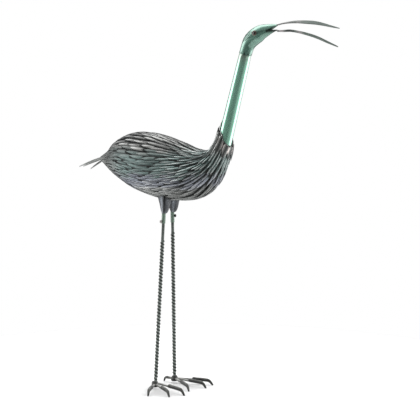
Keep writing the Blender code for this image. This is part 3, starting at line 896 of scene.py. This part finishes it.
# ---- legs
legs = {
    "height": 0.4880,
    "hipWidth": 0.0490,
    "hipLean": 0.0147,
    "hipStagger": 0.0075,
    "footStagger": 0.0030,
    "rimRadius": 0.0182,
    "socketRadius": 0.0056,
    "socketBottom": 0.4660,
    "rodRadius": 0.0043,
    "ribRadius": 0.0059,
    "rootRadius": 0.0042,
    "pitch": 0.0093,
    "ribBottom": 0.0218,
    "ribTop": {"right": 0.4260, "left": 0.4420},
    "rodBottom": 0.0158,
    "rodInSocket": 0.0255,
    "gap": 0.0003,
    "plainWear": 0.45,
    "steps": 16,
}
thigh = {  # the sheet is rolled once round, with its turns counted from the front
    "lap": math.radians(26.0),
    "seam": {"right": math.radians(274.0), "left": math.radians(314.0)},
    "slack": {"right": math.radians(366.0), "left": math.radians(376.0)},  # where the sheet hangs lower
    "sag": 0.0060,
    "pinch": 0.30,
    "curl": 0.0022,  # how far the free edge stands off
    "flare": {"right": 0.0, "left": 0.0056},  # the left bowl leans open to the front
    "flareTurn": math.radians(30.0),
    "shaded": {"right": 0.085, "left": 0.0},  # how far the inner turn is dark
    # where the left bowl is painted in shade
    "shadeTurn": math.radians(48.0),
    "sheet": 0.0010,
    "around": 60,
    "rings": 26,
}
screw = {
    "height": {"right": 0.4710, "left": 0.4850},
    "turn": {"right": math.radians(238.0), "left": math.radians(36.0)},
    "finish": {"right": screwGrey, "left": footIron},
    "shankRadius": 0.0020,
    "shankFrom": 0.0041,
    "stand": 0.0023,  # the middle of the head from the socket tube
    "headRadius": 0.0045,
    "dome": 0.0032,
    "sides": 20,
}
bowlShape = (  # radius and height of the rolled bowl above the socket tube
    (0.0052, 0.4940), (0.0066, 0.4985), (0.0096, 0.5030), (0.0124, 0.5085), (0.0145, 0.5145), (0.0160, 0.5215),
    (0.0173, 0.5300), (0.0181, 0.5400), (0.0182, 0.5590))
ribShape = (  # one pitch of the rib: share of the pitch, share of the rib's height
    (0.0, 0.0), (0.18, 0.10), (0.34, 0.72), (0.44, 1.0), (0.60, 1.0), (0.70, 0.72), (0.86, 0.10), (1.0, 0.0))


def legFrame(side):
    way = 1.0 if side == "left" else -1.0
    back = 1.0 if side == "left" else 0.0
    foot = Vector((-legs["footStagger"] * back, way * stanceWidth / 2.0, 0.0))
    hip = Vector((legs["hipLean"] - legs["hipStagger"] * back, way * legs["hipWidth"] / 2.0, legs["height"]))
    return along(home + foot, home + hip)


def makeThigh(side):
    # a bowl of sheet with its free edge lapping over, and the green socket tube below it
    def turnAt(u):
        return thigh["seam"][side] + (2.0 * math.pi + thigh["lap"]) * u

    def place(u, v):
        radius, high = blend(bowlShape, v)
        turn = turnAt(u)
        curl = thigh["curl"] * max(0.0, (u - 0.93) / 0.07) ** 2
        sag = 0.5 + 0.5 * math.cos(turn - thigh["slack"][side])
        radius *= 1.0 - thigh["pinch"] * (1.0 - sag) * math.sin(math.pi * min(1.0, v * 1.15))
        radius = radius * (0.95 + 0.05 * u) + curl * min(1.0, v * 2.0)
        radius += thigh["flare"][side] * v * max(0.0, math.cos(turn - thigh["flareTurn"])) ** 2
        high -= thigh["sag"] * sag * math.sin(math.pi * min(1.0, v * 1.6)) * min(1.0, v * 6.0)
        return polar(radius, turn, high)

    bm = bmesh.new()
    layer = bm.verts.layers.float_color.new("wear")
    made = bmesh.ops.create_grid(bm, x_segments=thigh["around"], y_segments=thigh["rings"], size=1.0)["verts"]
    for vert in made:
        u, v = (vert.co.x + 1.0) / 2.0, (vert.co.y + 1.0) / 2.0
        # painted highlight along the free edge, painted shade on the inner turn beside it and on a band part
        # way round
        edge = max(0.0, 1.0 - abs(u - 0.945) / 0.045)
        dark = max(0.0, 1.0 - (u - thigh["shaded"][side]) / 0.05)
        back = max(0.0, 1.0 - abs(u - 0.78) / 0.10)
        share = (0.50 + 0.50 * edge) * (1.0 - 0.95 * min(1.0, dark)) * (1.0 - 0.7 * back)
        if side == "left":  # painted shade toward the front
            share *= 1.0 - max(0.0, math.cos(turnAt(u) - thigh["shadeTurn"])) ** 4
        vert[layer] = (share, share, share, 1.0)
        vert.co = place(u, v)
    bmesh.ops.recalc_face_normals(bm, faces=bm.faces)
    bmesh.ops.solidify(bm, geom=bm.faces[:], thickness=thigh["sheet"])
    bowl = set(bm.faces)
    r = legs["socketRadius"]
    bore = legs["rodRadius"] + legs["gap"]
    bottom = legs["socketBottom"]
    tube = ((bore, bottom + 0.0005), (r - 0.0003, bottom), (r, bottom + 0.0006), (r, 0.499),
            (r * 1.15, 0.503), (r * 0.9, 0.505), (bore, 0.4960))
    turned(bm, tube + (tube[0],), 28, Matrix.Identity(4))
    for face in bm.faces:
        if face not in bowl:
            face.material_index = 1
    bmesh.ops.transform(bm, matrix=legFrame(side), verts=bm.verts)
    keep(side + "Thigh", bm, (thighSteel, socketGreen), "thigh_steel", side + "_thigh")


def makeScrew(side):
    centre = legFrame(side) @ Vector((0.0, 0.0, screw["height"][side]))
    middle = legs["socketRadius"] + screw["stand"]
    profile = [(0.0, screw["shankFrom"]), (screw["shankRadius"], screw["shankFrom"])]
    for a in (-60, -40, -20, 0, 20, 40, 60, 78):
        slope = math.radians(a)
        profile.append((screw["headRadius"] * math.cos(slope), middle + screw["dome"] * math.sin(slope)))
    profile.append((0.0, middle + screw["dome"]))
    bm = bmesh.new()
    turned(bm, profile, screw["sides"], along(centre, centre + polar(1.0, screw["turn"][side])))
    paint(bm, "wear", lambda p: 0.0)
    keep(side + "SetScrew", bm, (screw["finish"][side],), "foot_iron", side + "_set_screw")


def makeLeg(side):
    # rod with a rib wound round it to the left, one pitch of its profile screwed up the leg
    bottom = legs["ribBottom"]
    turns = int((legs["ribTop"][side] - bottom) / legs["pitch"])
    steps = legs["steps"]
    rod = legs["rodRadius"]
    top = legs["socketBottom"] + legs["rodInSocket"]
    crest = legs["ribRadius"] - legs["rootRadius"]
    plainFrom = bottom + legs["pitch"] * turns
    bm = bmesh.new()
    verts = []
    for share, out in ribShape:
        radius = legs["rootRadius"] + crest * out
        verts.append(bm.verts.new((radius, 0.0, bottom + legs["pitch"] * share)))
    edges = [bm.edges.new(pair) for pair in zip(verts, verts[1:])]
    bmesh.ops.spin(bm, geom=verts + edges, cent=(0, 0, 0), axis=(0, 0, 1), dvec=(0, 0, legs["pitch"] / steps),
                   angle=-2.0 * math.pi * (turns - 1), steps=steps * (turns - 1))
    bmesh.ops.remove_doubles(bm, verts=bm.verts, dist=1e-5)
    bmesh.ops.holes_fill(bm, edges=[e for e in bm.edges if e.is_boundary], sides=0)
    line = ((0.0, legs["rodBottom"]), (rod, legs["rodBottom"]), (rod, 0.2), (rod, top), (0.0, top))
    turned(bm, line, 24, Matrix.Identity(4))

    def wear(p):
        # the grooves of the wound part are paler than its crests
        if p.z > plainFrom:
            return legs["plainWear"]
        return 1.0 - (math.hypot(p.x, p.y) - legs["rootRadius"]) / crest

    paint(bm, "wear", wear)
    bmesh.ops.transform(bm, matrix=legFrame(side), verts=bm.verts)
    keep(side + "Leg", bm, (legIron,), "leg_iron", side + "_leg")


# ---- feet
feet = {
    "hubRadius": 0.0105,
    "axis": 0.0135,
    "halfWidth": 0.0044,
    "halfHeight": 0.0042,
    "toeLength": 0.1180,
    "gap": 0.0003,
    "knuckle": 0.42,  # the channel of a front toe ends at this share of its length
    "claw": 0.86,
    "channel": -0.45,
    "ridge": 0.18,
    "swell": 0.12,  # how much fuller a toe is short of its very tip
    "around": 20,
}
frontToe = (  # share along, height of the axis, half width, half height, tilt in degrees
    (0.000, 1.000, 0.45, 0.68, 0.0), (0.100, 1.000, 0.70, 0.70, 0.0), (0.250, 1.000, 0.72, 0.70, 0.0),
    (0.400, 1.000, 0.72, 0.68, 0.0), (0.430, 1.060, 0.98, 1.02, 0.0), (0.480, 1.080, 1.02, 1.06, 0.0),
    (0.540, 1.060, 0.96, 0.98, 0.0), (0.660, 1.060, 1.02, 1.00, 0.0), (0.780, 1.040, 1.00, 0.98, 2.0),
    (0.860, 0.980, 0.90, 0.90, 14.0), (0.910, 0.820, 0.76, 0.80, 42.0), (0.945, 0.560, 0.66, 0.72, 60.0),
    (0.975, 0.280, 0.58, 0.64, 68.0), (0.995, 0.080, 0.50, 0.54, 74.0), (1.000, 0.000, 0.30, 0.34, 90.0))
hindToe = (  # the same for the hind toes
    (0.00, 0.92, 0.65, 0.74, 0.0), (0.25, 0.90, 0.75, 0.80, 0.0), (0.50, 0.90, 0.78, 0.84, 3.0),
    (0.72, 0.86, 0.72, 0.78, 18.0), (0.86, 0.64, 0.62, 0.70, 48.0), (0.95, 0.28, 0.52, 0.60, 70.0),
    (0.99, 0.06, 0.44, 0.50, 80.0), (1.00, 0.00, 0.28, 0.34, 90.0))
toes = {  # turn from the heading in degrees, share of the toe's length, rise at the hub
    "left": (("Outer", 18.5, 0.975, 0.0), ("Middle", -2.3, 0.975, 0.0), ("Inner", -32.5, 1.0, 0.0),
             ("Hind", 181.0, 0.324, 0.0)),
    "right": (("Inner", -8.6, 0.992, 0.0040), ("Middle", -30.8, 0.924, 0.0), ("Outer", -63.8, 0.756, 0.0),
              ("Hind", 143.0, 0.290, 0.0)),
}


def makeHub(side):
    # a tapered disc with a rounded foot and a bore for the leg
    r = feet["hubRadius"]
    bore, top = 0.0043, 0.0214
    profile = ((0.0, 0.0056), (r * 0.78, 0.0056), (r * 0.93, 0.0062), (r, 0.0078), (r, 0.0135),
               (r * 0.95, 0.0152), (r * 0.86, 0.0168), (r * 0.75, 0.0186), (r * 0.66, 0.0203),
               (r * 0.58, top), (bore + 0.0001, top), (bore, 0.0160), (0.0, 0.0160))
    bm = bmesh.new()
    turned(bm, profile, 36, Matrix.Translation(legFrame(side).translation))
    # its side is painted paler up to the taper as painted light, its top and underside stay dark
    paint(bm, "wear", lambda p: 0.35 * (p.z - 0.0105) / 0.0030 if p.z < 0.0166 else 0.1)
    keep(side + "Hub", bm, (footIron,), "foot_iron", side + "_hub")


def straight(stations, t):
    # point t between 0 and 1 of straight lines through the stations
    spot = min(max(t, 0.0), 1.0) * (len(stations) - 1)
    k = min(int(spot), len(stations) - 2)
    return [a + (b - a) * (spot - k) for a, b in zip(stations[k], stations[k + 1])]


def makeToe(side, name, angle, reach, rise):
    foot = legFrame(side).translation
    turn = math.radians(angle)
    ahead = polar(1.0, turn)
    across = Vector((-math.sin(turn), math.cos(turn), 0.0))
    stations = hindToe if name == "Hind" else frontToe
    start = feet["hubRadius"] + feet["gap"]
    length = feet["toeLength"] * reach
    ridged = name != "Hind"

    def place(u, v):
        both = zip(straight(stations, v), blend(stations, v))
        share, height, width, thick, tilt = [0.6 * a + 0.4 * b for a, b in both]
        z = feet["axis"] * height + rise * (1.0 - share)
        slope = math.radians(tilt)
        lift = up * math.cos(slope) + ahead * math.sin(slope)
        spot = 2.0 * math.pi * u
        # a sharp ridge outward of the knuckle and a shallow channel inward of it
        crest = feet["channel"] if ridged and share < feet["knuckle"] else feet["ridge"]
        high = math.cos(spot) + crest * max(0.0, math.cos(spot)) ** 6
        wide = math.copysign(abs(math.sin(spot)) ** 0.8, math.sin(spot))
        full = 1.0 + feet["swell"] * min(1.0, (1.0 - v) * 6.0)
        return (foot + ahead * (start + (length - start) * share) + up * z
                + across * (feet["halfWidth"] * full * width * wide)
                + lift * (feet["halfHeight"] * full * thick * high))

    bm = bmesh.new()
    wrap(bm, feet["around"], 80 if ridged else 32, place)
    tip = feet["halfWidth"] * 1.1

    def wear(p):
        # the middle of a toe is painted pale as a highlight and its sides dark as painted shade; its claw
        # stays dark
        aside = min(1.0, abs((p - foot).dot(across)) / tip)
        share = ((p - foot).dot(ahead) - start) / (length - start)
        paintedLight = 1.0 if share < feet["knuckle"] else 0.6 if share < feet["claw"] else 0.35
        return 0.05 + 0.95 * paintedLight * (1.0 - aside ** 2)

    paint(bm, "wear", wear)
    keep(side + "Toe" + name, bm, (footIron,), "foot_iron", side + "_toe_" + name.lower())


for side in ("right", "left"):
    makeThigh(side)
    makeScrew(side)
    makeLeg(side)
    makeHub(side)
    for name, angle, reach, rise in toes[side]:
        makeToe(side, name, angle, reach, rise)
print("legs and feet are ready")

# ---- studio
studio = {
    "azimuth": math.radians(36.0),
    "distance": 2.90,
    "aside": 0.1267,
    "height": 0.67,
    "pitch": math.radians(3.33),
    "lens": 88.29,
    "sensor": 36.0,
    "floorRadius": 1.1,
    "floorDrop": 0.0002,
}
tent = {
    # strength round the object, from straight behind it to the camera
    "ring": ((0.0, 0.06), (0.19, 0.08), (0.27, 1.0), (0.50, 1.0), (0.65, 0.15), (0.76, 0.10), (1.0, 0.07)),
    "strength": 4.6,
    "aside": 0.18,
    "above": 0.2,
    "overhead": 0.42,
    "below": 0.30,
    "lampPower": 11.0,
    "lampSize": (1.6, 1.0),
    "lampPlace": (-0.45, 0.35, 2.4),  # to the right, away from the camera, up
    "lampAim": 0.6,
}
toCamera = Vector((math.sin(studio["azimuth"]), -math.cos(studio["azimuth"]), 0.0))
toRight = Vector((math.cos(studio["azimuth"]), math.sin(studio["azimuth"]), 0.0))


def makeCamera():
    lens = bpy.data.cameras.new("camera")
    lens.lens = studio["lens"]
    lens.sensor_width = studio["sensor"]
    camera = bpy.data.objects.new("camera", lens)
    back = toCamera * math.cos(studio["pitch"]) + up * math.sin(studio["pitch"])
    matrix = Matrix((toRight, back.cross(toRight), back)).transposed().to_4x4()
    matrix.translation = (home + toRight * studio["aside"] + toCamera * studio["distance"]
                          + up * studio["height"])
    camera.matrix_world = matrix
    bpy.context.scene.collection.objects.link(camera)
    bpy.context.scene.camera = camera


def makeFloor():
    material, shader, start, place = startFinish("floorWhite")
    haze = start.node("ShaderNodeTexNoise", sockets={"Vector": place, "Scale": 3.0})
    wire(shader, Base_Color=haze.mix(rgb(0.765, 0.765, 0.765), rgb(0.795, 0.795, 0.795)), Roughness=0.9)
    bm = bmesh.new()
    bmesh.ops.create_circle(bm, cap_ends=True, segments=64, radius=studio["floorRadius"])
    bmesh.ops.translate(bm, verts=bm.verts, vec=(0.0, 0.0, -studio["floorDrop"]))
    mesh = asMesh("floor", bm)
    mesh.materials.append(material)
    floor = bpy.data.objects.new("floor", mesh)
    bpy.context.scene.collection.objects.link(floor)


def makeLight():
    # a pale tent: bright at the sides, dim toward the camera and straight behind, with a lamp above
    world = bpy.data.worlds.new("tent")
    bpy.context.scene.world = world
    world.use_nodes = True
    tree = world.node_tree
    tree.nodes.clear()
    start = Shade(tree)
    way = start.node("ShaderNodeTexCoord", output="Generated")
    facing = start.node("ShaderNodeVectorMath", {"operation": "DOT_PRODUCT"}, {0: way, 1: toCamera}, "Value")
    ring = (facing * 0.5 + 0.5).ramp(tent["ring"], "EASE")
    aside = start.node("ShaderNodeVectorMath", {"operation": "DOT_PRODUCT"}, {0: way, 1: toRight}, "Value")
    ring = ring + aside.span(0.10, 0.90) * tent["aside"]
    high = start.node("ShaderNodeSeparateXYZ", sockets={0: way}, output=2)
    level = high.span(0.35, 0.85, 1.0, tent["overhead"]) * high.span(-0.15, -0.60, 1.0, tent["below"])
    strength = ring * level * tent["strength"] + high.span(0.30, 0.80) * tent["above"]
    seen = start.node("ShaderNodeLightPath", output="Is Camera Ray")
    glow = start.node("ShaderNodeBackground", sockets={"Color": rgb(1.0, 1.0, 1.0), "Strength": strength})
    white = start.node("ShaderNodeBackground", sockets={"Color": rgb(1.0, 1.0, 1.0), "Strength": 1.0})
    both = start.node("ShaderNodeMixShader", sockets={0: seen, 1: glow, 2: white})
    output = tree.nodes.new("ShaderNodeOutputWorld")
    tree.links.new(both.socket, output.inputs["Surface"])
    lamp = bpy.data.lights.new("softbox", "AREA")
    lamp.energy = tent["lampPower"]
    lamp.shape = "RECTANGLE"
    lamp.size, lamp.size_y = tent["lampSize"]
    softbox = bpy.data.objects.new("softbox", lamp)
    right, away, high = tent["lampPlace"]
    spot = home + toRight * right - toCamera * away + up * high
    aim = home + up * tent["lampAim"] - spot
    softbox.matrix_world = Matrix.Translation(spot) @ aim.to_track_quat("-Z", "Y").to_matrix().to_4x4()
    bpy.context.scene.collection.objects.link(softbox)
    bpy.context.scene.view_settings.view_transform = "Standard"


makeCamera()
makeFloor()
makeLight()
print("studio is ready")
